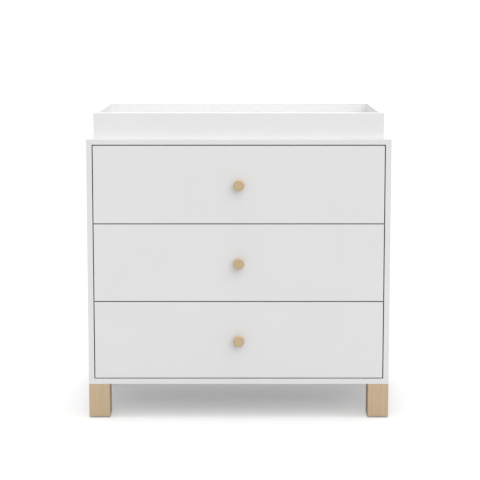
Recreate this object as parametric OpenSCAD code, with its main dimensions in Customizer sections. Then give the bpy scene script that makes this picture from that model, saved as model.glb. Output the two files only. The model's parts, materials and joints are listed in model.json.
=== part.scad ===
// Three-drawer changing table with a lift-off changing tray. Millimetres, +Z up.
// The front faces -Y. The origin is on the floor, under the middle of the whole piece.

/* [Case] */
// Width of the case
case_w = 890; // [800:1:1000]
// Depth of the case, from the drawer fronts to the back rail
case_d = 480; // [470:1:560]
// Height of the case, without its legs
case_h = 729; // [660:1:900]
// Thickness of the case panels, the rails and the drawer fronts
panel_t = 16; // [15:0.5:18]
// Thickness of the hardboard back panel
back_t = 3; // [3:0.5:5]
// Depth of the two cross rails behind the gaps between the drawers
rail_d = 60; // [50:1:80]
// Height of the rail behind the back panel, under the top
back_rail_h = 70; // [60:1:100]
// Space between a cross rail and the back of a closed drawer front
rail_set = 1; // [0.5:0.5:3]

/* [Legs] */
// Side of the square wooden legs
leg_side = 62; // [50:1:75]
// Height of the legs
leg_h = 100; // [60:1:160]
// Diameter of the plastic glide under each leg
glide_d = 34; // [20:1:40]
// Thickness of the glide
glide_t = 3; // [2:0.5:5]

/* [Drawers] */
// Gap around each drawer front
gap = 3; // [2:0.5:5]
// Thickness of the sides and the back of a drawer box
box_t = 12; // [12:0.5:13]
// Height of a drawer box
box_h = 160; // [120:1:170]
// Length of a drawer box, behind its front
box_l = 400; // [380:1:405]
// Height of the box above the lower edge of its front
box_rise = 40; // [36:1:45]
// Thickness of a drawer bottom
bottom_t = 4; // [3:0.5:5]
// Height of the drawer bottom above the lower edge of the box
bottom_rise = 12; // [12:1:20]
// Depth of the grooves that hold the drawer bottoms, the back panel and the tray floor
groove = 6; // [4:0.5:7]

/* [Runners] */
// Space on each side between a drawer box and the case
runner_w = 13; // [13:0.5:14]
// Thickness of the steel strip
steel_t = 1.2; // [1:0.1:1.2]
// Radius of the nylon rollers
roller_r = 9.5; // [9:0.1:9.5]
// Radius of the rivets that the rollers turn on
rivet_r = 2.5; // [2:0.1:3]

/* [Knobs] */
// Diameter of the round wooden knobs
knob_d = 33; // [28:1:38]
// How far a knob stands out from its drawer front
knob_out = 25; // [22:1:32]
// Radius of the softened rim
knob_rim = 3; // [1:0.5:5]

/* [Tray] */
// Width of the changing tray
tray_w = 848; // [760:1:880]
// Depth of the changing tray
tray_d = 465; // [420:1:470]
// Height of the tray boards
tray_h = 76; // [60:1:110]
// Thickness of the tray boards
tray_t = 13; // [12:0.5:16]
// Thickness of the tray floor
floor_t = 9; // [7:0.5:12]
// Thickness of the tongue around the tray floor
tongue_t = 5; // [3:0.5:6]
// Height of the tray floor above the case
floor_rise = 6; // [4:0.5:10]
// Distance of the two steel hook plates from the middle
plate_x = 300; // [200:1:360]

/* [Hidden] */
$fn = 48;

// Positions in the drawer stack
BOTTOM = 0;
MIDDLE = 1;
TOP = 2;

// Clearance between a fastener and its hole, and between a panel and the end of its groove
fit = 0.05;
groove_end = 0.2;

// Tray hook plates: the steel, the gap that lets them slide, and the screws that they hang on
plate_t = 2;
plate_w = 30;
plate_up = 50;
plate_down = 40;
slide_gap = 0.2;
head_gap = 0.3;
hook_r = 2.25;
hook_head_r = 5;
hook_head_t = 2.5;
hook_drop = 20;
slot_r = 2.7;

// Planes of the case
rear_out = slide_gap + plate_t + head_gap + hook_head_t;
front_y = knob_out - (knob_out + case_d + rear_out) / 2;
rear_y = front_y + case_d;
case_z = leg_h + glide_t;
top_z = case_z + case_h;
in_z = case_z + panel_t;
ceiling_z = top_z - panel_t;
half_w = case_w / 2;
wall_x = half_w - panel_t;
mid_x = half_w - panel_t / 2;
back_y = rear_y - panel_t - back_t;

// Planes of the drawers
pitch = (ceiling_z - in_z - gap) / 3;
front_h = pitch - gap;
front_back_y = front_y + panel_t;
box_x = wall_x - runner_w;
box_in_x = box_x - box_t;
box_end_y = front_back_y + box_l;
box_back_y = box_end_y - box_t;

// Heights on the runners, from the lower edge of the drawer box
channel_low = -8;
channel_high = 26;
flange_w = 10.5;
roll_gap = 0.1;
web_high = 22;
rail_flange_u = 3;
case_roller_v = web_high - steel_t - roll_gap - roller_r;
drawer_roller_v = channel_low + steel_t + roll_gap + roller_r;
case_roller_y = front_y + panel_t + 16;
drawer_roller_y = box_end_y - 12;
channel_y = front_back_y + 2;
roller_u = [2.2, 10.4];
drawer_roller_u = [2.4, 10.6];
rivet_head_r = 3.5;
rivet_head_t = 0.6;
shoulder_r = 4;
roller_edge = 0.8;

// Joinery
cam_r = 7.5;
cam_t = 12.5;
cam_in = 24;
cam_ys = [front_y + 50, rear_y - 40];
cam_pin_r = 3;
cam_thread_r = 2.5;
cam_thread_l = 11;
dowel_r = 4;
dowel_l = 30;
dowel_in = 11;
dowel_ys = [front_y + 110, rear_y - 90];
rail_y = front_back_y + rail_set;
rail_dowel_ys = [rail_y + 15, rail_y + rail_d - 15];
back_rail_dowel_zs = [ceiling_z - back_rail_h + 17, ceiling_z - 17];
pilot_r = 2;
pilot_l = 14;

// Screws
wood_screw_r = 1.75;
wood_head_r = 3.4;
wood_head_t = 1.7;
back_screw_l = 34;
runner_screw_l = 12;
runner_head_r = 2.8;
runner_head_t = 1.1;
runner_screw_v = 17.5;
runner_screw_ys = [channel_y + 52, channel_y + 200, channel_y + 372];
flange_screw_l = 10;
flange_screw_ys = [front_back_y + 40, front_back_y + 200, front_back_y + 360];
leg_screw_r = 2.5;
leg_head_r = 4.8;
leg_head_t = 2.4;
leg_screw_l = 50;
leg_screw_ins = [29, 51];
plate_screw_r = 2;
plate_head_r = 3.8;
plate_head_t = 2.2;
plate_screw_l = 9;
plate_screw_rises = [18, 38];
nail_r = 1.3;
nail_l = 14;

// Drawer box fasteners
box_cam_r = 6;
box_cam_t = 9;
box_cam_in = 20;
box_pin_r = 2.5;
box_thread_l = 10;
joint_vs = [50, 120];
knob_screw_r = 2;
knob_screw_head_r = 4;
knob_screw_head_t = 2.6;
knob_screw_in = 13;
knob_hole_r = 2.2;

// Tray
tray_y = rear_y + slide_gap - tray_d;
tray_back = rear_y + slide_gap;
tray_x = tray_w / 2;
tray_top = top_z + tray_h;
floor_z = top_z + floor_rise;
tray_dowel_r = 3;
tray_dowel_l = 26;
tray_dowel_in = 9;
tray_dowel_rises = [24, 56];

// Lower edge of a drawer box in the stack
function box_z(i) = in_z + gap + i * pitch + box_rise;
// Lower edge of a drawer front in the stack
function front_z(i) = in_z + gap + i * pitch;
// Turn that takes +Z to a direction along one of the axes
function turn(way) =
    way.x != 0 ? [0, 90 * way.x, 0] : way.y != 0 ? [-90 * way.y, 0, 0] : [way.z < 0 ? 180 : 0, 0, 0];

// ---- Helpers ----

// Block between two corners
module block(low, high) {
    translate(low) cube(high - low);
}

// Round rod from a point, along an axis
module rod(at, way, r, l) {
    translate(at) rotate(turn(way)) cylinder(r = r, h = l);
}

// The children and their mirror image on the other side
module pair() {
    children();
    mirror([1, 0, 0]) children();
}

// Countersunk screw with its head flush at a point, pointing along an axis
module flat_screw(at, way, r, head_r, head_t, l) {
    translate(at) rotate(turn(way)) {
        cylinder(r1 = head_r, r2 = r, h = head_t);
        cylinder(r = r, h = l - r);
        translate([0, 0, l - r]) cylinder(r1 = r, r2 = r / 4, h = r);
    }
}

// Space for a countersunk screw
module flat_screw_hole(at, way, r, head_r, head_t, l) {
    translate(at) rotate(turn(way)) {
        cylinder(r1 = head_r + fit, r2 = r + fit, h = head_t);
        cylinder(r = r + fit, h = l + fit);
    }
}

// Screw with a flat round head that stands behind a point, pointing along an axis
module pan_screw(at, way, r, head_r, head_t, l) {
    translate(at) rotate(turn(way)) {
        translate([0, 0, -head_t]) cylinder(r = head_r, h = head_t);
        cylinder(r = r, h = l);
    }
}

// Strip of a runner on the right wall: u counts in from the wall, v up from the drawer box's edge
module strip(i, u, v, y) {
    block([wall_x - u[1], y[0], box_z(i) + v[0]], [wall_x - u[0], y[1], box_z(i) + v[1]]);
}

// Round piece of a runner on the right wall, between two distances from the wall
module round_at(i, u, v, y, r) {
    rod([wall_x - u[0], y, box_z(i) + v], [-1, 0, 0], r, u[1] - u[0]);
}

// Centre lines of the joints at the top and bottom ends of a side panel, as [y, z, inward way]
cam_joints = [for (y = cam_ys) for (way = [-1, 1]) [y, way < 0 ? ceiling_z : in_z, way]];
dowel_joints = [for (y = dowel_ys) for (way = [-1, 1]) [y, way < 0 ? ceiling_z : in_z, way]];
rail_joints = [for (y = rail_dowel_ys) for (i = [MIDDLE, TOP]) [y, front_z(i) - gap / 2]];
back_rail_joints = [for (z = back_rail_dowel_zs) [rear_y - panel_t / 2, z]];

// Centre of a leg, from its own corner of the case
leg_mid = leg_side / 2;

// ---- Case ----

// Right side panel, with the holes for its joinery and its runners
module side_panel() {
    color("white") difference() {
        block([wall_x, front_y, in_z], [half_w, rear_y, ceiling_z]);
        block([wall_x - 1, back_y, in_z - 1], [wall_x + groove, back_y + back_t + groove_end, ceiling_z + 1]);
        for (j = cam_joints) {
            rod([wall_x - 1, j[0], j[1] + cam_in * j[2]], [1, 0, 0], cam_r + fit, cam_t + 1 + fit);
            rod([mid_x, j[0], j[1] - j[2]], [0, 0, j[2]], cam_pin_r + fit, cam_in + 1);
        }
        for (j = dowel_joints)
            rod([mid_x, j[0], j[1] - j[2]], [0, 0, j[2]], dowel_r + fit, dowel_l - dowel_in + 1.5);
        for (j = concat(rail_joints, back_rail_joints))
            rod([wall_x - 1, j[0], j[1]], [1, 0, 0], dowel_r + fit, dowel_in + 1.5);
        for (i = [BOTTOM:TOP]) for (y = runner_screw_ys)
            rod([wall_x - 1, y, box_z(i) + runner_screw_v], [1, 0, 0],
                wood_screw_r + fit, runner_screw_l + 1);
    }
}

module right_side_panel() {
    side_panel();
}

module left_side_panel() {
    mirror([1, 0, 0]) side_panel();
}

// Top or bottom panel with its inner face at z = 0 and its outer face up
module cap_panel() {
    difference() {
        block([-half_w, front_y, 0], [half_w, rear_y, panel_t]);
        block([-wall_x - groove, back_y, -1], [wall_x + groove, back_y + back_t + groove_end, groove]);
        pair() {
            for (y = cam_ys) rod([mid_x, y, -1], [0, 0, 1], cam_thread_r + fit, cam_thread_l + 1 + fit);
            for (y = dowel_ys) rod([mid_x, y, -1], [0, 0, 1], dowel_r + fit, dowel_in + 1.5);
        }
    }
}

module top_panel() {
    color("white") translate([0, 0, ceiling_z]) cap_panel();
}

module bottom_panel() {
    color("white") difference() {
        translate([0, 0, in_z]) mirror([0, 0, 1]) cap_panel();
        pair() for (inset = leg_screw_ins) for (y = [front_y + inset, rear_y - inset])
            flat_screw_hole([half_w - leg_mid, y, in_z], [0, 0, -1],
                leg_screw_r, leg_head_r, leg_head_t, panel_t + 1);
    }
}

module back_panel() {
    edge = groove - groove_end;
    color("whitesmoke")
        block([-wall_x - edge, back_y, in_z - edge], [wall_x + edge, back_y + back_t, ceiling_z + edge]);
}

// Cross rail between the side panels, centred on the gap under drawer i
module cross_rail(i) {
    mid_z = front_z(i) - gap / 2;
    color("white") difference() {
        block([-wall_x, rail_y, mid_z - panel_t / 2], [wall_x, rail_y + rail_d, mid_z + panel_t / 2]);
        pair() for (y = rail_dowel_ys)
            rod([wall_x + 1, y, mid_z], [-1, 0, 0], dowel_r + fit, dowel_l - dowel_in + 1.5);
    }
}

module back_rail() {
    color("white") difference() {
        block([-wall_x, rear_y - panel_t, ceiling_z - back_rail_h], [wall_x, rear_y, ceiling_z]);
        pair() for (j = back_rail_joints)
            rod([wall_x + 1, j[0], j[1]], [-1, 0, 0], dowel_r + fit, dowel_l - dowel_in + 1.5);
        pair() rod([plate_x, rear_y + 1, top_z - hook_drop], [0, -1, 0], hook_r + fit, pilot_l + 1);
        rod([0, rear_y + 1, ceiling_z - back_rail_h / 2], [0, -1, 0], pilot_r, pilot_l + 1);
    }
}

// Front right leg, flush with the corner of the case
module leg() {
    x = half_w - leg_mid;
    color("burlywood") difference() {
        block([half_w - leg_side, front_y, glide_t], [half_w, front_y + leg_side, case_z]);
        for (inset = leg_screw_ins)
            rod([x, front_y + inset, case_z + 1], [0, 0, -1], leg_screw_r + fit, leg_screw_l - panel_t + 2);
        rod([x, front_y + leg_mid, glide_t - 1], [0, 0, 1], nail_r + fit, nail_l + 2);
    }
}

// The children moved from the front edge of the case to the same place at its rear edge
module at_rear() {
    translate([0, front_y + rear_y, 0]) mirror([0, 1, 0]) children();
}

module front_right_leg() {
    leg();
}

module front_left_leg() {
    mirror([1, 0, 0]) leg();
}

module rear_right_leg() {
    at_rear() leg();
}

module rear_left_leg() {
    at_rear() mirror([1, 0, 0]) leg();
}

// Nail-on glide: a round foot with a bevelled edge and its nail
module glide() {
    r = glide_d / 2;
    translate([half_w - leg_mid, front_y + leg_mid, 0]) {
        cylinder(r1 = r - 1, r2 = r, h = 1);
        translate([0, 0, 1]) cylinder(r = r, h = glide_t - 1);
        cylinder(r = nail_r, h = glide_t + nail_l);
    }
}

module leg_glides() {
    color("dimgray") pair() {
        glide();
        at_rear() glide();
    }
}

module leg_screws() {
    color("silver") pair() for (inset = leg_screw_ins) for (y = [front_y + inset, rear_y - inset])
        flat_screw([half_w - leg_mid, y, in_z], [0, 0, -1], leg_screw_r, leg_head_r, leg_head_t, leg_screw_l);
}

module case_dowels() {
    color("burlywood") pair() {
        for (j = dowel_joints)
            rod([mid_x, j[0], j[1] - dowel_in * j[2]], [0, 0, j[2]], dowel_r, dowel_l);
        for (j = concat(rail_joints, back_rail_joints))
            rod([wall_x + dowel_in, j[0], j[1]], [-1, 0, 0], dowel_r, dowel_l);
    }
}

// Round cam with the slot that takes the bolt's pin, and a cross recess for the screwdriver
module cam(r, t) {
    difference() {
        cylinder(r = r, h = t);
        for (angle = [0, 90]) rotate(angle) translate([-r / 2, -0.6, -1]) cube([r, 1.2, 3]);
    }
}

module case_cams() {
    color("silver") pair() for (j = cam_joints) difference() {
        translate([wall_x, j[0], j[1] + cam_in * j[2]]) rotate([0, 90, 0]) cam(cam_r, cam_t);
        rod([mid_x, j[0], j[1]], [0, 0, j[2]], cam_pin_r + 2 * fit, cam_in + 3);
    }
}

module case_cam_bolts() {
    color("silver") pair() for (j = cam_joints) {
        rod([mid_x, j[0], j[1] - cam_thread_l * j[2]], [0, 0, j[2]], cam_thread_r, cam_thread_l);
        rod([mid_x, j[0], j[1]], [0, 0, j[2]], cam_pin_r, cam_in + 1 - fit);
    }
}

// ---- Runners on the case ----

// Right channel member for drawer i, with the rivet of its front roller
module case_runner(i) {
    y = [channel_y, channel_y + box_l];
    difference() {
        union() {
            strip(i, [0, steel_t], [channel_low, channel_high], y);
            strip(i, [0, flange_w], [channel_low, channel_low + steel_t], y);
            strip(i, [0, flange_w], [channel_high - steel_t, channel_high], y);
            round_at(i, [0, roller_u[0] - roll_gap], case_roller_v, case_roller_y, shoulder_r);
            round_at(i, [0, roller_u[1] + roll_gap + rivet_head_t], case_roller_v, case_roller_y, rivet_r);
            round_at(i, [roller_u[1] + roll_gap, roller_u[1] + roll_gap + rivet_head_t],
                case_roller_v, case_roller_y, rivet_head_r);
        }
        for (y = runner_screw_ys)
            round_at(i, [-1, steel_t + 1], runner_screw_v, y, wood_screw_r + fit);
    }
}

module right_case_runners() {
    color("gainsboro") for (i = [BOTTOM:TOP]) case_runner(i);
}

module left_case_runners() {
    color("gainsboro") mirror([1, 0, 0]) for (i = [BOTTOM:TOP]) case_runner(i);
}

module case_runner_screws() {
    color("silver") pair() for (i = [BOTTOM:TOP]) for (y = runner_screw_ys)
        pan_screw([wall_x - steel_t, y, box_z(i) + runner_screw_v], [1, 0, 0],
            wood_screw_r, runner_head_r, runner_head_t, runner_screw_l);
}

// Nylon roller with bevelled edges, from z = 0 up, bored for its rivet
module roller(l) {
    rotate_extrude() polygon([
        [rivet_r + fit, 0],
        [roller_r - roller_edge, 0],
        [roller_r, roller_edge],
        [roller_r, l - roller_edge],
        [roller_r - roller_edge, l],
        [rivet_r + fit, l]
    ]);
}

module case_rollers(i) {
    color("ivory") pair()
        translate([wall_x - roller_u[0], case_roller_y, box_z(i) + case_roller_v])
            rotate(turn([-1, 0, 0])) roller(roller_u[1] - roller_u[0]);
}

module tray_hook_screws() {
    color("silver") pair()
        pan_screw([plate_x, rear_y + rear_out - hook_head_t, top_z - hook_drop], [0, -1, 0],
            hook_r, hook_head_r, hook_head_t, pilot_l + rear_out - hook_head_t);
}

// ---- Drawers ----

// Groove that the bottom of drawer i sits in, cut all round
module bottom_groove(i) {
    z = box_z(i) + bottom_rise;
    block([-box_in_x - groove, front_back_y - groove, z],
        [box_in_x + groove, box_back_y + groove, z + bottom_t + groove_end]);
}

module drawer_front(i) {
    x = wall_x - gap;
    color("white") difference() {
        block([-x, front_y, front_z(i)], [x, front_back_y, front_z(i) + front_h]);
        bottom_groove(i);
        pair() for (v = joint_vs)
            rod([box_x - box_t / 2, front_back_y + 1, box_z(i) + v], [0, -1, 0],
                box_pin_r + fit, box_thread_l + 1 + fit);
        rod([0, front_y - 1, front_z(i) + front_h / 2], [0, 1, 0], knob_hole_r, panel_t + 2);
    }
}

// Right side of drawer i
module drawer_side(i) {
    color("ghostwhite") difference() {
        block([box_in_x, front_back_y, box_z(i)], [box_x, box_end_y, box_z(i) + box_h]);
        bottom_groove(i);
        for (v = joint_vs) {
            z = box_z(i) + v;
            rod([box_x + 1, front_back_y + box_cam_in, z], [-1, 0, 0], box_cam_r + fit, box_cam_t + 1 + fit);
            rod([box_x - box_t / 2, front_back_y - 1, z], [0, 1, 0], box_pin_r + fit, box_cam_in + 1);
            flat_screw_hole([box_x, box_end_y - box_t / 2, z], [-1, 0, 0],
                wood_screw_r, wood_head_r, wood_head_t, box_t + 1);
        }
        for (y = flange_screw_ys)
            rod([box_x - box_t / 2, y, box_z(i) - 1], [0, 0, 1], wood_screw_r + fit, flange_screw_l + 1);
    }
}

module drawer_left_side(i) {
    mirror([1, 0, 0]) drawer_side(i);
}

module drawer_back(i) {
    color("ghostwhite") difference() {
        block([-box_in_x, box_back_y, box_z(i)], [box_in_x, box_end_y, box_z(i) + box_h]);
        bottom_groove(i);
        pair() for (v = joint_vs)
            rod([box_in_x + 1, box_end_y - box_t / 2, box_z(i) + v], [-1, 0, 0],
                wood_screw_r + fit, back_screw_l - box_t + 2);
    }
}

module drawer_bottom(i) {
    edge = groove - groove_end;
    z = box_z(i) + bottom_rise;
    color("whitesmoke") block([-box_in_x - edge, front_back_y - edge, z],
        [box_in_x + edge, box_back_y + edge, z + bottom_t]);
}

// Right drawer member: it wraps the lower edge of the box, and its upper flange rides on the front roller
module drawer_runner(i) {
    y = [front_back_y, box_end_y];
    head_u = drawer_roller_u[0] - roll_gap - rivet_head_t;
    difference() {
        union() {
            strip(i, [runner_w - steel_t, runner_w], [-steel_t, web_high], y);
            strip(i, [runner_w - steel_t, runner_w + box_t], [-steel_t, 0], y);
            strip(i, [rail_flange_u, runner_w], [web_high - steel_t, web_high], y);
            round_at(i, [drawer_roller_u[1] + roll_gap, runner_w], drawer_roller_v, drawer_roller_y,
                shoulder_r);
            round_at(i, [head_u, runner_w], drawer_roller_v, drawer_roller_y, rivet_r);
            round_at(i, [head_u, head_u + rivet_head_t], drawer_roller_v, drawer_roller_y, rivet_head_r);
        }
        for (y = flange_screw_ys)
            rod([box_x - box_t / 2, y, box_z(i) - steel_t - 1], [0, 0, 1], wood_screw_r + fit, steel_t + 2);
    }
}

module drawer_runners(i) {
    color("gainsboro") pair() drawer_runner(i);
}

module drawer_rollers(i) {
    color("ivory") pair()
        translate([wall_x - drawer_roller_u[0], drawer_roller_y, box_z(i) + drawer_roller_v])
            rotate(turn([-1, 0, 0])) roller(drawer_roller_u[1] - drawer_roller_u[0]);
}

// Turned knob, from its foot at z = 0 to its flat face, bored for its screw
module turned_knob() {
    r = knob_d / 2;
    foot_r = r * 0.58;
    neck_r = r * 0.5;
    neck_z = knob_out * 0.22;
    head_z = knob_out * 0.52;
    difference() {
        rotate_extrude() {
            polygon([
                [0, 0],
                [foot_r, 0],
                [neck_r, neck_z],
                [r, head_z],
                [r, knob_out - knob_rim],
                [r - knob_rim, knob_out],
                [0, knob_out]
            ]);
            translate([r - knob_rim, knob_out - knob_rim]) circle(r = knob_rim);
        }
        translate([0, 0, -1]) cylinder(r = knob_screw_r + fit, h = knob_screw_in + 2);
    }
}

module knob(i) {
    color("burlywood") translate([0, front_y, front_z(i) + front_h / 2]) rotate(turn([0, -1, 0]))
        turned_knob();
}

// Knob screw, cams and their bolts, back screws and runner screws of drawer i
module drawer_fasteners(i) {
    x = box_x - box_t / 2;
    color("silver") {
        pan_screw([0, front_back_y, front_z(i) + front_h / 2], [0, -1, 0],
            knob_screw_r, knob_screw_head_r, knob_screw_head_t, panel_t + knob_screw_in);
        pair() for (v = joint_vs) {
            z = box_z(i) + v;
            difference() {
                translate([box_x, front_back_y + box_cam_in, z]) rotate(turn([-1, 0, 0]))
                    cam(box_cam_r, box_cam_t);
                rod([x, front_back_y, z], [0, 1, 0], box_pin_r + 2 * fit, box_cam_in + 3);
            }
            rod([x, front_back_y - box_thread_l, z], [0, 1, 0],
                box_pin_r, box_thread_l + box_cam_in + 1 - fit);
            flat_screw([box_x, box_end_y - box_t / 2, z], [-1, 0, 0],
                wood_screw_r, wood_head_r, wood_head_t, back_screw_l);
        }
        pair() for (y = flange_screw_ys)
            pan_screw([x, y, box_z(i) - steel_t], [0, 0, 1],
                wood_screw_r, runner_head_r, runner_head_t, flange_screw_l + steel_t);
    }
}

// ---- Changing tray ----

// Groove that the tray floor sits in, cut all round
module floor_groove() {
    edge = tray_t - groove;
    block([edge - tray_x, tray_y + edge, floor_z],
        [tray_x - edge, tray_back - edge, floor_z + tongue_t + groove_end]);
}

// Dowel holes in the front or back board, and in the ends of the side boards
module tray_dowel_holes() {
    pair() for (rise = tray_dowel_rises) for (end = [[tray_y + tray_t, 1], [tray_back - tray_t, -1]])
        rod([tray_x - tray_t / 2, end[0] - (tray_dowel_in + 0.5) * end[1], top_z + rise], [0, end[1], 0],
            tray_dowel_r + fit, tray_dowel_l + 1);
}

module tray_front_board() {
    color("white") difference() {
        block([-tray_x, tray_y, top_z], [tray_x, tray_y + tray_t, tray_top]);
        floor_groove();
        tray_dowel_holes();
    }
}

module tray_back_board() {
    color("white") difference() {
        block([-tray_x, tray_back - tray_t, top_z], [tray_x, tray_back, tray_top]);
        floor_groove();
        tray_dowel_holes();
        pair() for (rise = plate_screw_rises)
            rod([plate_x, tray_back + 1, top_z + rise], [0, -1, 0], plate_screw_r + fit, plate_screw_l + 1);
    }
}

module tray_right_board() {
    color("white") difference() {
        block([tray_x - tray_t, tray_y + tray_t, top_z], [tray_x, tray_back - tray_t, tray_top]);
        floor_groove();
        tray_dowel_holes();
    }
}

module tray_left_board() {
    mirror([1, 0, 0]) tray_right_board();
}

// Slab of the tray floor, this far in from the outside of the boards
module floor_slab(edge, t) {
    block([edge - tray_x, tray_y + edge, floor_z], [tray_x - edge, tray_back - edge, floor_z + t]);
}

// Tray floor between the boards, with a tongue all round that sits in their grooves
module tray_floor() {
    color("whitesmoke") {
        floor_slab(tray_t + groove_end, floor_t);
        floor_slab(tray_t - groove + groove_end, tongue_t);
    }
}

module tray_dowels() {
    color("burlywood") pair()
        for (rise = tray_dowel_rises) for (end = [[tray_y + tray_t, 1], [tray_back - tray_t, -1]])
            rod([tray_x - tray_t / 2, end[0] - tray_dowel_in * end[1], top_z + rise], [0, end[1], 0],
                tray_dowel_r, tray_dowel_l);
}

// Steel plates with a slot that is open below, so that the tray lifts off its hook screws
module tray_hook_plates() {
    slot_z = top_z - hook_drop;
    color("silver") pair() difference() {
        block([plate_x - plate_w / 2, tray_back, top_z - plate_down],
            [plate_x + plate_w / 2, tray_back + plate_t, top_z + plate_up]);
        rod([plate_x, tray_back - 1, slot_z], [0, 1, 0], slot_r, plate_t + 2);
        block([plate_x - slot_r, tray_back - 1, top_z - plate_down - 1],
            [plate_x + slot_r, tray_back + plate_t + 1, slot_z]);
        for (rise = plate_screw_rises)
            rod([plate_x, tray_back - 1, top_z + rise], [0, 1, 0], plate_screw_r + fit, plate_t + 2);
    }
}

module tray_plate_screws() {
    color("silver") pair() for (rise = plate_screw_rises)
        pan_screw([plate_x, tray_back + plate_t, top_z + rise], [0, -1, 0],
            plate_screw_r, plate_head_r, plate_head_t, plate_t + plate_screw_l - 0.5);
}

left_side_panel();
right_side_panel();
top_panel();
bottom_panel();
back_panel();
cross_rail(TOP);  // upper_cross_rail
cross_rail(MIDDLE);  // lower_cross_rail
back_rail();
front_left_leg();
front_right_leg();
rear_left_leg();
rear_right_leg();
leg_glides();
leg_screws();
case_dowels();
case_cams();
case_cam_bolts();
left_case_runners();
right_case_runners();
case_runner_screws();
tray_hook_screws();
case_rollers(TOP);  // top_case_rollers
case_rollers(MIDDLE);  // middle_case_rollers
case_rollers(BOTTOM);  // bottom_case_rollers
drawer_front(TOP);  // top_drawer_front
drawer_left_side(TOP);  // top_drawer_left_side
drawer_side(TOP);  // top_drawer_right_side
drawer_back(TOP);  // top_drawer_back
drawer_bottom(TOP);  // top_drawer_bottom
drawer_runners(TOP);  // top_drawer_runners
drawer_rollers(TOP);  // top_drawer_rollers
knob(TOP);  // top_knob
drawer_fasteners(TOP);  // top_drawer_fasteners
drawer_front(MIDDLE);  // middle_drawer_front
drawer_left_side(MIDDLE);  // middle_drawer_left_side
drawer_side(MIDDLE);  // middle_drawer_right_side
drawer_back(MIDDLE);  // middle_drawer_back
drawer_bottom(MIDDLE);  // middle_drawer_bottom
drawer_runners(MIDDLE);  // middle_drawer_runners
drawer_rollers(MIDDLE);  // middle_drawer_rollers
knob(MIDDLE);  // middle_knob
drawer_fasteners(MIDDLE);  // middle_drawer_fasteners
drawer_front(BOTTOM);  // bottom_drawer_front
drawer_left_side(BOTTOM);  // bottom_drawer_left_side
drawer_side(BOTTOM);  // bottom_drawer_right_side
drawer_back(BOTTOM);  // bottom_drawer_back
drawer_bottom(BOTTOM);  // bottom_drawer_bottom
drawer_runners(BOTTOM);  // bottom_drawer_runners
drawer_rollers(BOTTOM);  // bottom_drawer_rollers
knob(BOTTOM);  // bottom_knob
drawer_fasteners(BOTTOM);  // bottom_drawer_fasteners
tray_front_board();
tray_back_board();
tray_left_board();
tray_right_board();
tray_floor();
tray_dowels();
tray_hook_plates();
tray_plate_screws();
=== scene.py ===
"""Looks of the changing table: finishes, softened edges, hardware detail, light and camera.

Metres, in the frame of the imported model: the front faces -Y, and +Z is up.
"""
import json
from math import cos, pi, radians, sin, tan

import bmesh
import bpy
from mathutils import Matrix, Vector

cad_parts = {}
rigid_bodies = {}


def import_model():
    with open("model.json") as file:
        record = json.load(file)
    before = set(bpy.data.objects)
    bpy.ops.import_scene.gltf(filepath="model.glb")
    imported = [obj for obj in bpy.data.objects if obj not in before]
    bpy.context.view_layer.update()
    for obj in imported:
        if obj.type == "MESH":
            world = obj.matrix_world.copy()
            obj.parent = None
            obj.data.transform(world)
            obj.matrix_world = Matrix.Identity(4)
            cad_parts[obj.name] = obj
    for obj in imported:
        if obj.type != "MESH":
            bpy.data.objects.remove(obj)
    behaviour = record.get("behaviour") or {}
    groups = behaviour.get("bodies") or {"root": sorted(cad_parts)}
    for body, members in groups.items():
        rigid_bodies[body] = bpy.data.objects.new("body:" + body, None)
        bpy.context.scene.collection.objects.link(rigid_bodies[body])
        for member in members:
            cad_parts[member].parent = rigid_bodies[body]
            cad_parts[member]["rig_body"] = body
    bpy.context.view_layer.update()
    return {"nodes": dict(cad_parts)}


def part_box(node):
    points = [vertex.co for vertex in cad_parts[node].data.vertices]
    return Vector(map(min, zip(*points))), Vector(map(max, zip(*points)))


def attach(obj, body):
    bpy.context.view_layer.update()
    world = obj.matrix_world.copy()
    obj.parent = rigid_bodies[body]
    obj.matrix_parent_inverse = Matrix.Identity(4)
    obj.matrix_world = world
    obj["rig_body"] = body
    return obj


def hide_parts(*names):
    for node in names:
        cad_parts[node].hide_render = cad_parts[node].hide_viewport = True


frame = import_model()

MM = 0.001
X, Y, Z = Vector((1, 0, 0)), Vector((0, 1, 0)), Vector((0, 0, 1))
LEVELS = ("top", "middle", "bottom")
SIDES = ("left", "right")

# The sides of a node's box, as (axis, side) pairs
LEFT_END, RIGHT_END = (0, 0), (0, 1)
FRONT_END, REAR_END = (1, 0), (1, 1)
LOW_END, TOP_END = (2, 0), (2, 1)

# How far corners are rounded over
SOFT = 0.3 * MM
BOARD_SOFT = 0.8 * MM
RAIL_SOFT = 0.5 * MM
LEG_SOFT = 2.5 * MM
SHEET_SOFT = 0.2 * MM
RUNNER_SOFT = 0.25 * MM
PLATE_SOFT = 0.4 * MM
CAM_SOFT = 0.18 * MM

# Sizes of small parts
ROLLER_WIDTH = 8.2 * MM
ROLLER_BORE = 2.6 * MM
ROLLER_DISH = 0.9 * MM
GLIDE_T = 3 * MM
NAIL_R = 1.25 * MM
NAIL_HEAD_R = 3.4 * MM
THREAD_PITCH = 1.6 * MM
THREAD_TURNS = 5
FLUTES = 16
FLUTE_STEPS = 5
FLUTE_DEPTH = 0.3 * MM
DOWEL_CHAMFER = 1.0 * MM

# How sharp and how long an edge has to be to count as a corner
CORNER = radians(60)
SHORTEST = 6 * MM
# What counts as the same point, size or radius, and as an equal width both ways
SAME_POINT = 2e-6
SAME_SIZE = 0.02 * MM
SAME_RADIUS = 0.06 * MM
SAME_WIDTH = 0.05 * MM
# How much wider than its shank a screw's head is at least, and how thick a flat head's rim is at most
LEAST_HEAD = 0.9 * MM
FLAT_RIM = 0.3 * MM


# ---- Node graphs ----

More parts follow.
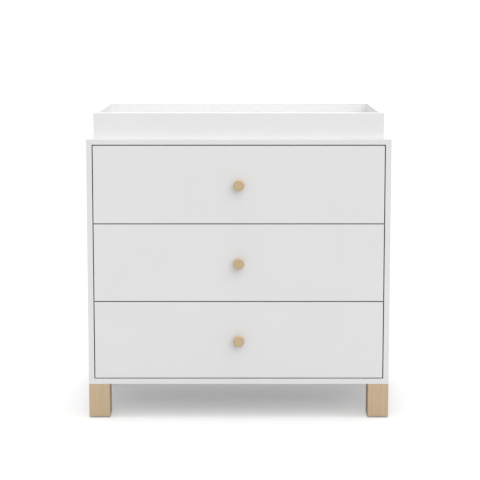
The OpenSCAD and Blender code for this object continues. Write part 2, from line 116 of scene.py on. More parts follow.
class Graph:
    """A material whose nodes are made with short calls. Textures read the object's own coordinates."""

    def __init__(self, name, **constants):
        self.material = bpy.data.materials.new(name)
        self.material.use_nodes = True
        self.tree = self.material.node_tree
        self.shader = self.tree.nodes["Principled BSDF"]
        self.place = self.node("TexCoord").outputs["Object"]
        self.shade(**constants)

    def node(self, kind, settings=(), **inputs):
        made = self.tree.nodes.new("ShaderNode" + kind)
        for name, value in dict(settings).items():
            setattr(made, name, value)
        for name, value in inputs.items():
            self.put(made.inputs[name.replace("_", " ")], value)
        return made

    def put(self, socket, value):
        if isinstance(value, bpy.types.NodeSocket):
            self.tree.links.new(value, socket)
        else:
            socket.default_value = value

    def shade(self, **inputs):
        for name, value in inputs.items():
            self.put(self.shader.inputs[name.replace("_", " ")], value)

    def stretched(self, x, y, z):
        """The object's coordinates times a scale of their own on each axis."""
        return self.node("Mapping", Vector=self.place, Scale=(x, y, z)).outputs["Vector"]

    def noise(self, vector, scale, detail=2.0, roughness=0.5):
        return self.node("TexNoise", Vector=vector, Scale=scale, Detail=detail,
                         Roughness=roughness).outputs["Fac"]

    def span(self, value, low, high, start=0.3, end=0.7):
        """Maps start..end to low..high, and holds it there."""
        made = self.node("MapRange")
        for socket, number in zip(made.inputs, (value, start, end, low, high)):
            self.put(socket, number)
        return made.outputs["Result"]

    def calc(self, kind, a, b):
        made = self.node("Math", {"operation": kind})
        self.put(made.inputs[0], a)
        self.put(made.inputs[1], b)
        return made.outputs["Value"]

    def blend(self, factor, a, b):
        """Colour a where factor is 0, and b where it is 1."""
        made = self.node("MixRGB")
        for socket, value in zip(made.inputs, (factor, a, b)):
            self.put(socket, (*value, 1) if isinstance(value, tuple) else value)
        return made.outputs["Color"]

    def bump(self, height, distance, strength=1.0, under=None):
        made = self.node("Bump", Height=height, Strength=strength, Distance=distance)
        if under is not None:
            self.put(made.inputs["Normal"], under)
        return made.outputs["Normal"]


# ---- Materials ----

# The face attribute that marks rounded corners
EDGE = "eased_edge"
COAT = 0.5
COAT_ROUGH = 0.35
WHITE = (0.807, 0.808, 0.81)
# How dark the faces inside the gaps round the drawer fronts, and the rails behind them, are painted:
# painted shade in the gaps
GAP_SHADE_TONE = 0.6
# How much lighter the tray's paint is than the case's, for the extra light the tray gets: painted light
TRAY_LIGHT_LIFT = 1.045
PALE_WOOD = (0.63, 0.48, 0.315)
BARE_STEEL = (0.42, 0.42, 0.41)


def tint(colour, *factors):
    """A colour times one factor, or times a factor for each of red, green and blue."""
    return tuple(c * f for c, f in zip(colour, factors * (3 // len(factors))))


def lacquer(name, colour, rough, peel):
    """Sprayed satin paint: faint cloudiness, orange peel, and rubbed edges that are smoother, with a
    painted highlight that makes them lighter.
    """
    g = Graph(name, Specular_IOR_Level=0.45)
    cloud = g.noise(g.place, 4.5, 3)
    grains = g.noise(g.place, 900, 1)
    edge = g.node("Attribute", {"attribute_name": EDGE}).outputs["Fac"]
    body = g.blend(g.span(cloud, 0, 1), tint(colour, 0.985), tint(colour, 1.01))
    speckled = g.blend(g.span(grains, 0, 0.35), body, tint(colour, 0.97))
    # The rounded edges a little lighter: painted highlight
    edge_highlighted = g.blend(g.calc("MULTIPLY", edge, 0.5), speckled, tint(colour, 1.04))
    dull = g.span(g.noise(g.place, 35, 3), rough - 0.04, rough + 0.05)
    smooth = g.calc("SUBTRACT", dull, g.calc("MULTIPLY", edge, 0.08))
    peeled = g.bump(g.noise(g.place, 520, 2), peel * MM, 0.6)
    wavy = g.bump(g.noise(g.place, 22, 1), 0.12 * MM, 0.35, under=peeled)
    g.shade(Base_Color=edge_highlighted, Roughness=smooth, Normal=wavy)
    return g.material


def foil(name, colour, weave):
    """Printed paper foil on board: a faint pressed grain along the board and a matt surface."""
    g = Graph(name, Specular_IOR_Level=0.4)
    pressed = g.noise(g.stretched(900, weave, 900), 1, 3, 0.6)
    tone = g.blend(g.span(pressed, 0, 1), tint(colour, 0.965), tint(colour, 1.015))
    spots = g.span(g.noise(g.place, 8, 4), 0, 0.5)
    toned = g.blend(spots, tone, tint(colour, 0.98))
    g.shade(Base_Color=toned, Roughness=g.span(pressed, 0.5, 0.6), Normal=g.bump(pressed, 0.05 * MM, 0.5))
    return g.material


def fibreboard(name, colour):
    """The raw back of hardboard: brown felted fibres with the print of the press screen."""
    g = Graph(name, Specular_IOR_Level=0.3)
    fibres = g.noise(g.place, 420, 5, 0.7)
    screen = [g.node("TexWave", {"bands_direction": way}, Vector=g.place, Scale=110, Distortion=0.6,
                     Detail=1.0).outputs["Fac"] for way in "XZ"]
    mesh = g.calc("MULTIPLY", screen[0], screen[1])
    flecks = g.blend(g.span(fibres, 0, 1), tint(colour, 0.72), tint(colour, 1.22))
    cloudy = g.blend(g.span(g.noise(g.place, 6, 3), 0, 0.5), flecks, tint(colour, 0.86))
    height = g.calc("ADD", g.calc("MULTIPLY", mesh, 0.6), fibres)
    g.shade(Base_Color=cloudy, Roughness=g.span(fibres, 0.72, 0.86), Normal=g.bump(height, 0.25 * MM, 0.7))
    return g.material


def wood(name, colour, pith, ring=2.6, rough=0.46):
    """Pale straight-grained hardwood with its fibres along Z. pith is the tree's middle, in X and Y."""
    g = Graph(name, Specular_IOR_Level=0.4, Coat_Weight=COAT, Coat_Roughness=COAT_ROUGH)
    split = g.node("SeparateXYZ", Vector=g.place).outputs
    drift = g.calc("MULTIPLY", g.noise(g.stretched(30, 30, 5), 1, 2), 2.2 * MM)
    away = [g.calc("SUBTRACT", split[i], pith[i]) for i in (0, 1)]
    radius = g.calc("SQRT", g.calc("ADD", *(g.calc("MULTIPLY", a, a) for a in away)), 0.0)
    turns = g.calc("MULTIPLY", g.calc("ADD", radius, drift), 1 / (ring * MM))
    late = g.calc("POWER", g.calc("FRACT", turns, 0.0), 2.5)
    streaks = g.noise(g.stretched(330, 330, 7), 1, 3, 0.55)
    fibres = g.noise(g.stretched(1500, 1500, 45), 1, 2, 0.6)
    pores = g.span(g.noise(g.stretched(2300, 2300, 130), 1, 1), 1, 0, 0.3, 0.4)
    bands = g.noise(g.stretched(75, 75, 3), 1, 2)
    tone = g.blend(g.span(bands, 0, 1), tint(colour, 0.93), tint(colour, 1.06))
    ringed = g.blend(g.calc("MULTIPLY", late, 0.62), tone, tint(colour, 0.82, 0.76, 0.68))
    streaked = g.blend(g.span(streaks, 0.5, 0), ringed, tint(colour, 0.86, 0.80, 0.72))
    fine = g.blend(g.span(fibres, 0.3, 0), streaked, tint(colour, 1.12))
    pored = g.blend(g.calc("MULTIPLY", pores, 0.35), fine, tint(colour, 0.6))
    upward = g.node("SeparateXYZ", Vector=g.node("TexCoord").outputs["Normal"]).outputs[2]
    end_grain = g.calc("MULTIPLY", g.calc("POWER", g.calc("ABSOLUTE", upward, 0.0), 6.0), 0.45)
    darker = g.blend(end_grain, pored, tint(colour, 0.74, 0.68, 0.60))
    sunk = g.calc("SUBTRACT", streaks, g.calc("MULTIPLY", pores, 0.8))
    height = g.calc("ADD", g.calc("MULTIPLY", fibres, 0.5), sunk)
    g.shade(Base_Color=darker, Roughness=g.span(fibres, rough - 0.05, rough + 0.08),
            Normal=g.bump(height, 0.09 * MM, 0.5))
    return g.material


def powder_coat(name, colour):
    """Powder coat on pressed steel: fine round pebbling, and rubbed steel showing through on the edges."""
    g = Graph(name, Specular_IOR_Level=0.5)
    pebbles = g.noise(g.place, 1300, 2)
    edge = g.node("Attribute", {"attribute_name": EDGE}).outputs["Fac"]
    tone = g.blend(g.span(g.noise(g.place, 60, 3), 0, 1), tint(colour, 0.97), tint(colour, 1.01))
    rubbed = g.calc("MULTIPLY", edge, g.span(g.noise(g.place, 240, 4), 0, 0.55, 0.5, 0.62))
    g.shade(Base_Color=g.blend(rubbed, tone, BARE_STEEL), Metallic=g.calc("MULTIPLY", rubbed, 0.7),
            Roughness=g.span(pebbles, 0.36, 0.5), Normal=g.bump(pebbles, 0.08 * MM, 0.6))
    return g.material


def zinc(name, colour, rough=0.3):
    """Bright zinc plate: fine draw lines, a clouded passivated film, and small handling marks."""
    g = Graph(name, Metallic=1.0)
    lines = g.noise(g.stretched(600, 600, 4200), 1, 2, 0.6)
    film = g.noise(g.place, 70, 4)
    warm = g.blend(g.span(film, 0, 1), tint(colour, 0.92, 0.94, 0.98), tint(colour, 1.06, 1.03, 0.95))
    marks = g.span(g.noise(g.place, 500, 5, 0.7), 0, 0.4, 0.55, 0.7)
    drawn = g.span(lines, rough - 0.06, rough + 0.1)
    g.shade(Base_Color=g.blend(marks, warm, tint(colour, 0.7)),
            Roughness=g.calc("ADD", drawn, g.calc("MULTIPLY", marks, 0.3)),
            Normal=g.bump(lines, 0.03 * MM, 0.5))
    return g.material


def moulded(name, colour, rough, texture):
    """Moulded plastic: a fine spark-eroded texture and slightly uneven gloss."""
    g = Graph(name, Specular_IOR_Level=0.5)
    grain = g.noise(g.place, 1600, 2, 0.6)
    tone = g.blend(g.span(g.noise(g.place, 90, 3), 0, 1), tint(colour, 0.94), tint(colour, 1.05))
    g.shade(Base_Color=tone, Roughness=g.span(g.noise(g.place, 140, 3), rough - 0.06, rough + 0.08),
            Normal=g.bump(grain, texture * MM, 0.6))
    return g.material


PAINT = lacquer("white_paint", WHITE, 0.42, 0.05)
# A lighter copy of the white paint for the tray: painted light
LIT_TRAY_PAINT = lacquer("tray_paint_lit", tint(WHITE, TRAY_LIGHT_LIFT), 0.42, 0.05)
# A grey copy of the white paint for the faces in the gaps round the drawers: painted shade
GAP_SHADE_PAINT = lacquer("gap_shade_paint", tint(WHITE, GAP_SHADE_TONE), 0.5, 0.08)
FOIL = foil("white_foil", (0.80, 0.80, 0.785), 14)
PRINTED = foil("printed_hardboard", (0.79, 0.79, 0.775), 400)
RAW_BOARD = fibreboard("raw_hardboard", (0.40, 0.275, 0.17))
LEG_WOOD = wood("leg_wood", PALE_WOOD, (0.62, -1.3))
KNOB_WOOD = wood("knob_wood", (0.61, 0.462, 0.275), (0.35, -0.9), 1.9, 0.42)
DOWEL_WOOD = wood("dowel_wood", (0.63, 0.50, 0.35), (0.2, -0.6), 1.6, 0.6)
COATED_STEEL = powder_coat("runner_coat", (0.78, 0.78, 0.76))
ZINC = zinc("zinc_plate", (0.66, 0.665, 0.67))
NYLON = moulded("nylon", (0.76, 0.75, 0.70), 0.40, 0.04)
GLIDE = moulded("glide_plastic", (0.075, 0.075, 0.078), 0.52, 0.06)


# ---- Pieces ----

def built(bm, name):
    """The mesh that bm holds, as mesh data. bm is freed."""
    mesh = bpy.data.meshes.new(name)
    bm.to_mesh(mesh)
    bm.free()
    return mesh


def finish_piece(bm, node, materials, smooth_angle=32):
    """Turns bm into the visible piece for a CAD node, shaded smooth except at its real corners."""
    mesh = built(bm, node + "_piece")
    piece = bpy.data.objects.new(node + "_piece", mesh)
    bpy.context.scene.collection.objects.link(piece)
    for material in materials:
        mesh.materials.append(material)
    for face in mesh.polygons:
        face.use_smooth = True
    mesh.set_sharp_from_angle(angle=radians(smooth_angle))
    piece.modifiers.new("even_normals", "WEIGHTED_NORMAL").keep_sharp = True
    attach(piece, frame["nodes"][node]["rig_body"])
    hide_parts(node)


def cad_mesh(node):
    """A copy of a CAD node's mesh, with its triangles joined at their corners."""
    bm = bmesh.new()
    bm.from_mesh(frame["nodes"][node].data)
    bmesh.ops.remove_doubles(bm, verts=bm.verts, dist=SAME_POINT)
    return bm


def merge_flat(bm):
    """Joins the triangles that lie in one plane."""
    bmesh.ops.dissolve_limit(bm, angle_limit=radians(0.2), verts=bm.verts, edges=bm.edges)


def corner_planes(vert, low, high):
    """On which sides of a box a vertex lies, as (axis, side) pairs."""
    return {(i, s) for i in range(3) for s, c in ((0, low[i]), (1, high[i]))
            if abs(vert.co[i] - c) < SAME_POINT}


def eased(node, materials, width, crisp=(), everywhere=False, second=None):
    """The CAD node's own shape with its long corners rounded over.

    Only the corners of its box are, unless everywhere. The corners of its crisp sides stay sharp.
    Faces whose normal passes second get the second material.
    """
    bm = cad_mesh(node)
    merge_flat(bm)
    low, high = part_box(node)
    chosen = []
    for e in bm.edges:
        if len(e.link_faces) != 2 or e.calc_face_angle_signed() < CORNER or e.calc_length() < SHORTEST:
            continue
        planes = corner_planes(e.verts[0], low, high) & corner_planes(e.verts[1], low, high)
        if everywhere or (len(planes) == 2 and not planes & set(crisp)):
            chosen.append(e)
    layer = bm.faces.layers.float.new(EDGE)
    made = bmesh.ops.bevel(bm, geom=chosen, offset=width, offset_type="OFFSET", segments=3, profile=0.5,
                           affect="EDGES", loop_slide=False, clamp_overlap=False)
    for f in made["faces"]:
        f[layer] = 1.0
    if second is not None:
        bm.normal_update()
        for f in bm.faces:
            f.material_index = int(second(f.normal))
    finish_piece(bm, node, materials)


def islands(node):
    """A CAD node's mesh, and the faces of each separate solid in it."""
    bm = cad_mesh(node)
    left, groups = set(bm.faces), []
    for first in bm.faces:
        if first not in left:
            continue
        group, queue = [], [first]
        left.discard(first)
        while queue:
            f = queue.pop()
            group.append(f)
            for other in (o for e in f.edges for o in e.link_faces):
                if other in left:
                    left.discard(other)
                    queue.append(other)
        groups.append(group)
    return bm, groups


class Solid:
    """One of a CAD node's separate solids, as something that may be round about its longest side."""

    def __init__(self, faces):
        co = [v.co for f in faces for v in f.verts]
        self.low, self.high = (Vector([pick(c[i] for c in co) for i in range(3)]) for pick in (min, max))
        self.middle = (self.low + self.high) / 2
        size = self.high - self.low
        self.axis = max(range(3), key=lambda i: size[i])
        across = [i for i in range(3) if i != self.axis]
        self.length, self.radius = size[self.axis], size[self.axis - 1] / 2
        self.is_round = abs(size[across[0]] - size[across[1]]) <= SAME_WIDTH
        self.rings = [(c[self.axis] - self.low[self.axis],
                       Vector([c[i] - self.middle[i] for i in across]).length) for c in co]
        self.end_radii = [max(r for h, r in self.rings if abs(h - end) < SAME_SIZE)
                          for end in (0, self.length)]

    def place(self, forward=True, inset=0):
        """Where a mesh along +Z goes that starts inset from the low end, or from the high one."""
        way, start = Vector((0, 0, 0)), self.middle.copy()
        way[self.axis] = 1 if forward else -1
        start[self.axis] = (self.low if forward else self.high)[self.axis] + inset * way[self.axis]
        return facing(start, way)


def rounded(points, radii, steps=5):
    """A profile of (radius, height) points with its corners filleted."""
    out = []
    for i, (at, fillet) in enumerate(zip(points, radii)):
        here = Vector(at)
        if not fillet or i in (0, len(points) - 1):
            out.append(tuple(here))
            continue
        back, on = (Vector(points[i + k]) - here for k in (-1, 1))
        half = back.angle(on) / 2
        reach = min(fillet / tan(half), back.length * 0.48, on.length * 0.48)
        radius = reach * tan(half)
        centre = here + (back.normalized() + on.normalized()).normalized() * (radius / sin(half))
        start, end = (here + way.normalized() * reach - centre for way in (back, on))
        turn = start.angle_signed(end)
        for k in range(steps + 1):
            out.append(tuple(centre + Matrix.Rotation(-turn * k / steps, 2) @ start))
    return out


def lathe(bm, profile, place, steps=64, material=0, flute=None):
    """Adds a turned solid to bm. Its profile runs from the axis or a bore, round the outside and back.

    flute gives how much is cut off the radius at each fraction of a turn.
    """
    closed = profile[0][0] > 0
    rings = []
    for r, h in profile:
        count = steps if r > 1e-9 else 1
        ring = []
        for k in range(count):
            out, turn = r - (flute(k / count) if flute and count > 1 else 0), 2 * pi * k / count
            ring.append(bm.verts.new(place @ Vector((out * cos(turn), out * sin(turn), h))))
        rings.append(ring)
    for low, high in zip(rings, rings[1:] + ([rings[0]] if closed else [])):
        for k in range(steps):
            corners = [low[k % len(low)], low[(k + 1) % len(low)],
                       high[(k + 1) % len(high)], high[k % len(high)]]
            bm.faces.new(list(dict.fromkeys(corners))).material_index = material


def facing(at, way):
    """The place of a turned solid whose own +Z points a given way."""
    return Matrix.Translation(at) @ Vector(way).to_track_quat("Z", "Y").to_matrix().to_4x4()


def mirrored(bm):
    """Adds the mirror image of everything in bm on the other side of x = 0."""
    copy = bmesh.ops.duplicate(bm, geom=bm.verts[:] + bm.edges[:] + bm.faces[:])["geom"]
    verts = [v for v in copy if isinstance(v, bmesh.types.BMVert)]
    bmesh.ops.scale(bm, vec=(-1, 1, 1), verts=verts)
    bmesh.ops.reverse_faces(bm, faces=[f for f in copy if isinstance(f, bmesh.types.BMFace)])


def knob(level):
    """Turned knob with a waisted foot and a softened rim."""
    node = level + "_knob"
    low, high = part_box(node)
    r, out = (high.x - low.x) / 2, high.y - low.y
    bm = bmesh.new()
    profile = rounded(
        [(0, 0), (r * 0.58, 0), (r * 0.5, out * 0.22), (r, out * 0.52), (r, out), (0, out)],
        [0, 0.6 * MM, 7 * MM, 2.5 * MM, 3 * MM, 0], 8)
    lathe(bm, profile, facing((0, high.y, (low.z + high.z) / 2), -Y), 128)
    finish_piece(bm, node, [KNOB_WOOD])


def rollers(node):
    """A left and right pair of moulded rollers: crowned tread, rounded rims, dished web round the hub."""
    low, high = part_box(node)
    r = (high.z - low.z) / 2
    side = [(ROLLER_BORE, 0), (0.42 * r, 0), (0.46 * r, ROLLER_DISH), (0.78 * r, ROLLER_DISH),
            (0.82 * r, 0), (r - 0.05 * MM, 0)]
    other = [(a, ROLLER_WIDTH - h) for a, h in reversed(side)]
    fillets = [0, 0.2 * MM, 0.3 * MM, 0.3 * MM, 0.25 * MM, 0.8 * MM]
    profile = rounded(side + [(r, ROLLER_WIDTH / 2)] + other, fillets + [0.0] + fillets[::-1], 4)
    bm = bmesh.new()
    lathe(bm, profile, facing((high.x, (low.y + high.y) / 2, (low.z + high.z) / 2), -X), 72)
    mirrored(bm)
    finish_piece(bm, node, [NYLON], 50)


def glides():
    """Dished plastic feet, each with the head of its nail in the middle."""
    source, groups = islands("leg_glides")
    bm = bmesh.new()
    for solid in map(Solid, groups):
        r, top = (solid.high.x - solid.low.x) / 2, solid.high.z
        body = rounded([(0, 0.9 * MM), (4.2 * MM, 0.9 * MM), (4.6 * MM, 0), (r - 0.8 * MM, 0),
                        (r, GLIDE_T), (0, GLIDE_T)],
                       [0, 0.2 * MM, 0.3 * MM, 0.9 * MM, 0.3 * MM, 0])
        nail = rounded([(0, 0.35 * MM), (NAIL_HEAD_R, 0.5 * MM), (NAIL_HEAD_R, 0.88 * MM),
                        (NAIL_R, 0.88 * MM), (NAIL_R, top), (0, top)],
                       [0, 0.25 * MM, 0.1 * MM, 0, 0.6 * MM, 0])
        place = facing((solid.middle.x, solid.middle.y, 0), Z)
        lathe(bm, body, place)
        lathe(bm, nail, place, 40, 1)
    source.free()
    finish_piece(bm, "leg_glides", [GLIDE, ZINC])


def lathed(name, profile, steps):
    """A turned solid along +Z as a mesh of its own."""
    bm = bmesh.new()
    lathe(bm, profile, Matrix.Identity(4), steps)
    bmesh.ops.recalc_face_normals(bm, faces=bm.faces)
    return built(bm, name)


def cross_cutter(arm, half, top, deep):
    """The tapered cross that a screwdriver's bit leaves in a head whose top is at z = top."""
    plus = [(half, arm), (-half, arm), (-half, half), (-arm, half), (-arm, -half), (-half, -half),
            (-half, -arm), (half, -arm), (half, -half), (arm, -half), (arm, half), (half, half)]
    bm = bmesh.new()
    rings = [[bm.verts.new((x * s, y * s, z)) for x, y in plus]
             for s, z in ((1.0, top - 0.5 * MM), (1.0, top), (0.55, top + deep))]
    bm.faces.new(rings[0][::-1])
    bm.faces.new(rings[2])
    for low, high in zip(rings, rings[1:]):
        for k in range(12):
            bm.faces.new((low[k], low[(k + 1) % 12], high[(k + 1) % 12], high[k]))
    bmesh.ops.recalc_face_normals(bm, faces=bm.faces)
    return built(bm, "cutter")


def difference(body, cutter):
    """The mesh body with the mesh cutter taken away."""
    blank, tool = (bpy.data.objects.new(m.name, m) for m in (body, cutter))
    for obj in (blank, tool):
        bpy.context.scene.collection.objects.link(obj)
    cut = blank.modifiers.new("recess", "BOOLEAN")
    cut.object, cut.operation, cut.solver = tool, "DIFFERENCE", "EXACT"
    made = bpy.data.meshes.new_from_object(blank.evaluated_get(bpy.context.evaluated_depsgraph_get()))
    for obj in (blank, tool):
        bpy.data.objects.remove(obj)
    return made


# Screws that are made already, by their sizes
_screws = {}


def cross_head(domed, head_r, head_t, shank_r, length):
    """A screw along +Z from its head's seat at z = 0: domed or countersunk head with a cross recess."""
    key = (domed, *(round(v / MM, 2) for v in (head_r, head_t, shank_r, length)))
    if key not in _screws:
        if domed:
            outline = [(0, -head_t), (head_r * 0.62, -head_t * 0.93), (head_r, -head_t * 0.42), (head_r, 0),
                       (shank_r, 0)]
            fillets = [0, head_r, head_t * 0.4, 0.12 * MM, 0.2 * MM]
        else:
            outline = [(0, 0), (head_r, 0), (shank_r, head_t)]
            fillets = [0, 0.15 * MM, 0.4 * MM]
        tip = [(shank_r, length - shank_r), (shank_r * 0.25, length), (0, length)]
        body = lathed("screw", rounded(outline + tip, fillets + [0.3 * MM, 0.1 * MM, 0], 4), 48)
        cutter = cross_cutter(head_r * 0.56, head_r * 0.13, -head_t if domed else 0.0, head_r * 0.5)
        _screws[key] = difference(body, cutter)
    return _screws[key]


def as_screw(solid):
    """A cross-headed screw of the same sizes as a solid, or None if the solid has no round head."""
    ends, length = solid.end_radii, solid.length
    if not solid.is_round or abs(ends[0] - ends[1]) < LEAST_HEAD:
        return None
    forward, head_r = ends[0] > ends[1], max(ends)
    rings = solid.rings if forward else [(length - h, r) for h, r in solid.rings]
    shank_r = max(r for h, r in rings if h > length / 2)
    rim = max(h for h, r in rings if abs(r - head_r) < SAME_RADIUS)
    domed = rim > FLAT_RIM
    head_t = rim if domed else min(h for h, r in rings if abs(r - shank_r) < SAME_RADIUS)
    above = head_t if domed else 0
    mesh = cross_head(domed, head_r, head_t, shank_r, length - above).copy()
    mesh.transform(solid.place(forward, above))
    return mesh


def as_bolt(solid):
    """A cam bolt in place of a rod: thread, collar, shaft and waisted head. None if the rod isn't round."""
    if not solid.is_round:
        return None
    at_low, at_high = solid.end_radii
    length, thread_r, pin_r = solid.length, min(at_low, at_high), max(at_low, at_high)
    core_r, shaft_r, neck_r = thread_r * 0.74, pin_r * 0.8, pin_r * 0.6
    profile = [(0, 0), (thread_r * 0.5, 0)]
    for k in range(THREAD_TURNS):
        foot = (k + 0.6) * THREAD_PITCH
        profile += [(core_r, foot), (thread_r, foot + THREAD_PITCH * 0.4),
                    (thread_r, foot + THREAD_PITCH * 0.5)]
    collar = (THREAD_TURNS + 0.8) * THREAD_PITCH
    profile += [(core_r, collar - 0.4 * MM), (pin_r, collar), (pin_r, collar + 1.5 * MM),
                (shaft_r, collar + 1.8 * MM), (shaft_r, length - 6 * MM),
                (neck_r, length - 5.4 * MM), (neck_r, length - 2.9 * MM),
                (pin_r, length - 2.4 * MM), (pin_r, length - 0.7 * MM), (pin_r * 0.75, length), (0, length)]
    mesh = lathed("bolt", profile, 40)
    mesh.transform(solid.place(at_low <= at_high + SAME_SIZE))
    return mesh


def as_softened(faces):
    """The same solid with its sharp corners rounded over."""
    bm = bmesh.new()
    copies = {v: bm.verts.new(v.co) for v in dict.fromkeys(v for f in faces for v in f.verts)}
    for f in faces:
        bm.faces.new([copies[v] for v in f.verts])
    merge_flat(bm)
    sharp = [e for e in bm.edges if len(e.link_faces) == 2 and e.calc_face_angle_signed() > radians(50)]
    bmesh.ops.bevel(bm, geom=sharp, offset=CAM_SOFT, offset_type="OFFSET", segments=2, profile=0.5,
                    affect="EDGES", loop_slide=False, clamp_overlap=True)
    return built(bm, "softened")


def hardware(node):
    """A CAD node's fasteners: screws with cross-recessed heads, cam bolts, and cams with softened rims."""
    source, groups = islands(node)
    bm = bmesh.new()
    for faces in groups:
        solid = Solid(faces)
        mesh = as_screw(solid) or as_bolt(solid) or as_softened(faces)
        bm.from_mesh(mesh)
        bpy.data.meshes.remove(mesh)
    source.free()
    finish_piece(bm, node, [ZINC], 30)


def dowels(node):
    """Hardwood dowels with chamfered ends, and flutes that let the glue out."""
    source, groups = islands(node)
    bm = bmesh.new()
    steps = FLUTES * FLUTE_STEPS
    for solid in map(Solid, groups):
        r, length = solid.radius, solid.length
        profile = [(0, 0), (r - DOWEL_CHAMFER, 0), (r, DOWEL_CHAMFER), (r, length - DOWEL_CHAMFER),
                   (r - DOWEL_CHAMFER, length), (0, length)]
        lathe(bm, profile, solid.place(), steps,
              flute=lambda turn: FLUTE_DEPTH * (round(turn * steps) % FLUTE_STEPS == 0))
    source.free()
    bmesh.ops.recalc_face_normals(bm, faces=bm.faces)
    finish_piece(bm, node, [DOWEL_WOOD])


# ---- Floor, light and camera ----

# The studio: its radius and glow, the height, grey and glow of the floor that the camera sees, and the
# height and grey of the floor that other rays see
SURROUND = 14
SURROUND_GLOW = 1.02
FLOOR_Z = -0.2 * MM
FLOOR_GREY = 0.6
FLOOR_GLOW = 0.28
BOUNCE_Z = -0.4 * MM
BOUNCE_GREY = 0.44

# Light from all round
AMBIENT = 0.65
# Light from above: its way, its strength on most things and on the floor of the tray, and its spread
ABOVE = (-0.02, -0.08, -1)
OVERHEAD = 2.25
OVERHEAD_TRAY = 1.2
OVERHEAD_SPREAD = 26
# Light from the front right
KEY = 1.15
KEY_WAY = (-0.5, 1, -0.95)
KEY_SPREAD = 60
# Lights on the studio floor alone, each with how far back it goes on its way down, and its strength
FLOOR_LIGHTS = ((0.05, 0.7), (0.2, 0.3), (0.5, 0.45), (1.0, 0.5), (1.8, 0.5))
FLOOR_SPREAD = 14

# The camera: its place, how far it looks down, and its sensor, lens and shift
CAMERA_AT = (0.0036, -4.6, 1.20204)
CAMERA_DIP = 0.12426
SENSOR = 36
LENS = 112.883
SHIFT = -0.085


def paper(name, grey, glow):
    """Seamless studio paper, with a little light of its own."""
    g = Graph(name, Specular_IOR_Level=0.2, Emission_Color=(1, 1, 1, 1), Emission_Strength=glow)
    cloud = g.span(g.noise(g.place, 1.5, 3), 0, 1)
    g.shade(Base_Color=g.blend(cloud, (grey - 0.005,) * 3, (grey + 0.005,) * 3),
            Roughness=g.span(g.noise(g.place, 400, 2), 0.78, 0.9))
    return g.material


def stage_piece(name, bm, material, height, seen_by):
    """A piece of the studio, seen by some kinds of ray only."""
    mesh = built(bm, name)
    mesh.materials.append(material)
    obj = bpy.data.objects.new(name, mesh)
    obj.location.z = height
    for ray in ("camera", "diffuse", "glossy", "transmission", "volume_scatter", "shadow"):
        setattr(obj, "visible_" + ray, ray in seen_by)
    bpy.context.scene.collection.objects.link(obj)


def make_stage():
    """A white floor and surround for the camera, and a greyer floor that the light bounces off."""
    for name, grey, glow, height, seen_by in (
            ("floor", FLOOR_GREY, FLOOR_GLOW, FLOOR_Z, ("camera",)),
            ("floor_bounce", BOUNCE_GREY, 0.0, BOUNCE_Z, ("diffuse", "glossy", "transmission"))):
        bm = bmesh.new()
        bmesh.ops.create_circle(bm, cap_ends=True, segments=96, radius=SURROUND)
        stage_piece(name, bm, paper(name + "_paper", grey, glow), height, seen_by)
    white = Graph("surround_white")
    white.put(white.tree.nodes["Material Output"].inputs["Surface"],
              white.node("Emission", Strength=SURROUND_GLOW).outputs[0])
    bm = bmesh.new()
    bmesh.ops.create_icosphere(bm, subdivisions=4, radius=SURROUND)
    stage_piece("surround", bm, white.material, 0, ("camera",))


def sun(name, towards, strength, spread):
    """Soft light without falloff, travelling towards a direction."""
    light = bpy.data.lights.new(name, "SUN")
    light.energy = strength
    light.angle = radians(spread)
    obj = bpy.data.objects.new(name, light)
    obj.rotation_mode = "QUATERNION"
    obj.rotation_quaternion = Vector(towards).to_track_quat("-Z", "Y")
    bpy.context.scene.collection.objects.link(obj)
    return obj


def link(light, state, *names):
    """Lets a light fall on some objects only ("INCLUDE"), or on everything else ("EXCLUDE")."""
    group = bpy.data.collections.new(light.name + "_linking")
    light.light_linking.receiver_collection = group
    for name in names:
        group.objects.link(bpy.data.objects[name])
    for linked in group.collection_objects:
        linked.light_linking.link_state = state


def make_light():
    """Even light all round, a big light overhead, and another in front, to the right.

    The studio floor has lights of its own, and the floor of the tray gets less from overhead.
    """
    scene = bpy.context.scene
    world = bpy.data.worlds.new("studio")
    world.use_nodes = True
    background = world.node_tree.nodes["Background"]
    background.inputs["Color"].default_value = (1, 1, 1, 1)
    background.inputs["Strength"].default_value = AMBIENT
    scene.world = world
    link(sun("overhead", ABOVE, OVERHEAD, OVERHEAD_SPREAD), "EXCLUDE", "floor", "tray_floor_piece")
    link(sun("overhead_tray", ABOVE, OVERHEAD_TRAY, OVERHEAD_SPREAD), "INCLUDE", "tray_floor_piece")
    link(sun("key", KEY_WAY, KEY, KEY_SPREAD), "EXCLUDE", "floor")
    for i, (lean, strength) in enumerate(FLOOR_LIGHTS):
        link(sun(f"floor_light_{i}", (0, lean, -1), strength, FLOOR_SPREAD), "INCLUDE", "floor")
    scene.view_settings.view_transform = "Standard"
    scene.view_settings.look = "None"


def make_camera():
    """A long lens straight in front of the table, a little above it."""
    camera = bpy.data.cameras.new("camera")
    camera.sensor_width = SENSOR
    camera.lens = LENS
    camera.shift_y = SHIFT
    obj = bpy.data.objects.new("camera", camera)
    obj.location = CAMERA_AT
    obj.rotation_euler = (pi / 2 - CAMERA_DIP, 0, 0)
    bpy.context.scene.collection.objects.link(obj)
    bpy.context.scene.camera = obj


# ---- Boards, legs, drawers and tray ----

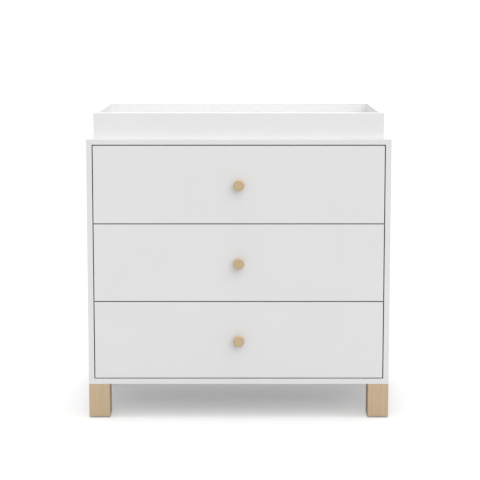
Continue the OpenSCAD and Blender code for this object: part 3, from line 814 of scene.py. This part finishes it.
for side in SIDES:
    eased(side + "_side_panel", [PAINT], SOFT, crisp=(TOP_END, LOW_END))
eased("top_panel", [PAINT], SOFT)
eased("bottom_panel", [PAINT], SOFT)
# The cross rails behind the gaps get the grey gap paint: painted shade
for rail, finish in (("upper_cross", GAP_SHADE_PAINT), ("lower_cross", GAP_SHADE_PAINT), ("back", PAINT)):
    eased(rail + "_rail", [finish], RAIL_SOFT, crisp=(LEFT_END, RIGHT_END))
eased("back_panel", [PRINTED], SHEET_SOFT)
for end in ("front", "rear"):
    for side in SIDES:
        eased(f"{end}_{side}_leg", [LEG_WOOD], LEG_SOFT, crisp=(TOP_END,))
for level in LEVELS:
    drawer = level + "_drawer_"
    # The edges of the drawer front, inside the gaps, get the grey gap paint: painted shade
    eased(drawer + "front", [PAINT, GAP_SHADE_PAINT], SOFT, second=lambda way: abs(way.y) < 0.1)
    for side in SIDES:
        eased(drawer + side + "_side", [FOIL], BOARD_SOFT, crisp=(FRONT_END, REAR_END))
    eased(drawer + "back", [FOIL], BOARD_SOFT, crisp=(LEFT_END, RIGHT_END))
    eased(drawer + "bottom", [PRINTED, RAW_BOARD], SHEET_SOFT, second=lambda way: way.z < -0.5)
# The tray's boards and floor get the lighter paint: painted light
for board in ("front_board", "back_board"):
    eased("tray_" + board, [LIT_TRAY_PAINT], BOARD_SOFT)
for side in SIDES:
    eased(f"tray_{side}_board", [LIT_TRAY_PAINT], BOARD_SOFT, crisp=(FRONT_END, REAR_END))
eased("tray_floor", [LIT_TRAY_PAINT], RAIL_SOFT, everywhere=True)

# ---- Runners, plates, knobs and fasteners ----

for node in ("left_case_runners", "right_case_runners", *(level + "_drawer_runners" for level in LEVELS)):
    eased(node, [COATED_STEEL], RUNNER_SOFT, everywhere=True)
eased("tray_hook_plates", [ZINC], PLATE_SOFT, everywhere=True)
glides()
for level in LEVELS:
    knob(level)
    rollers(level + "_case_rollers")
    rollers(level + "_drawer_rollers")
    hardware(level + "_drawer_fasteners")
for node in ("case_runner_screws", "tray_hook_screws", "tray_plate_screws", "leg_screws", "case_cams",
             "case_cam_bolts"):
    hardware(node)
for node in ("case_dowels", "tray_dowels"):
    dowels(node)

# ---- Studio, light and camera ----

make_stage()
make_light()
make_camera()
